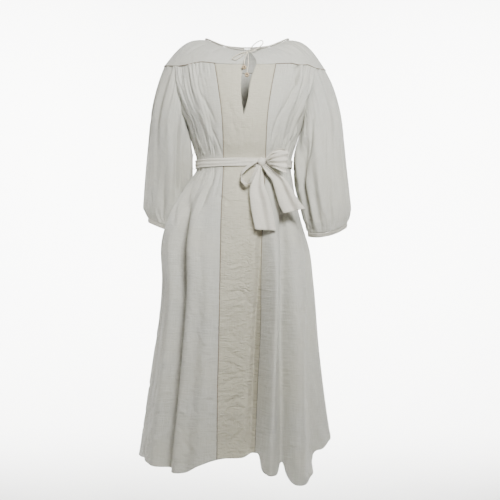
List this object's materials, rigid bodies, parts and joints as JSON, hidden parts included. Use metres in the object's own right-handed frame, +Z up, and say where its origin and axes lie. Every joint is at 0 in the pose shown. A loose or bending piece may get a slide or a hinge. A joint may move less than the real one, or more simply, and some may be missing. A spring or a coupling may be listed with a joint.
{
  "type": "long linen dress",
  "caption": "Long loose linen dress, hollow as worn: gathered yoke, slit neck with a beaded tie, full sleeves and a tied sash.",
  "frame": {"origin": "midway between the two shoulders, level with their tops, where the wearer's shoulders hold the dress up", "axes": "+Z up along the dress's length, -Y out of its front, +X towards the picture's right"},
  "size_m": [0.6162, 0.4255, 1.2305],
  "materials": {
    "linen": "matt off-white plain-weave linen",
    "sash_linen": "matt off-white linen, one layer with turned edges",
    "binding_linen": "matt linen bias binding, a little darker",
    "cord_cotton": "matt cream twisted cotton cord",
    "bead_wood": "tan turned bead, dull, with a dark hole"
  },
  "bodies": {
    "root": {"yoke_front_left": "linen", "yoke_front_right": "linen", "yoke_back": "linen", "front_center_panel": "linen", "front_side_left": "linen", "front_side_right": "linen", "back_panel": "linen", "sleeve_left": "linen", "sleeve_right": "linen", "cuff_left": "binding_linen", "cuff_right": "binding_linen", "neck_binding": "binding_linen", "belt_band": "sash_linen", "belt_knot": "sash_linen", "belt_loop_left": "sash_linen", "belt_loop_right": "sash_linen", "belt_tail_left": "sash_linen", "belt_tail_right": "sash_linen", "belt_carrier_left": "cord_cotton", "belt_carrier_right": "cord_cotton", "tie_knot": "cord_cotton", "tie_loop_left": "cord_cotton", "tie_loop_right": "cord_cotton", "tie_end_left": "cord_cotton", "tie_end_right": "cord_cotton", "bead_left": "bead_wood", "bead_right": "bead_wood"}
  },
  "joints": []
}
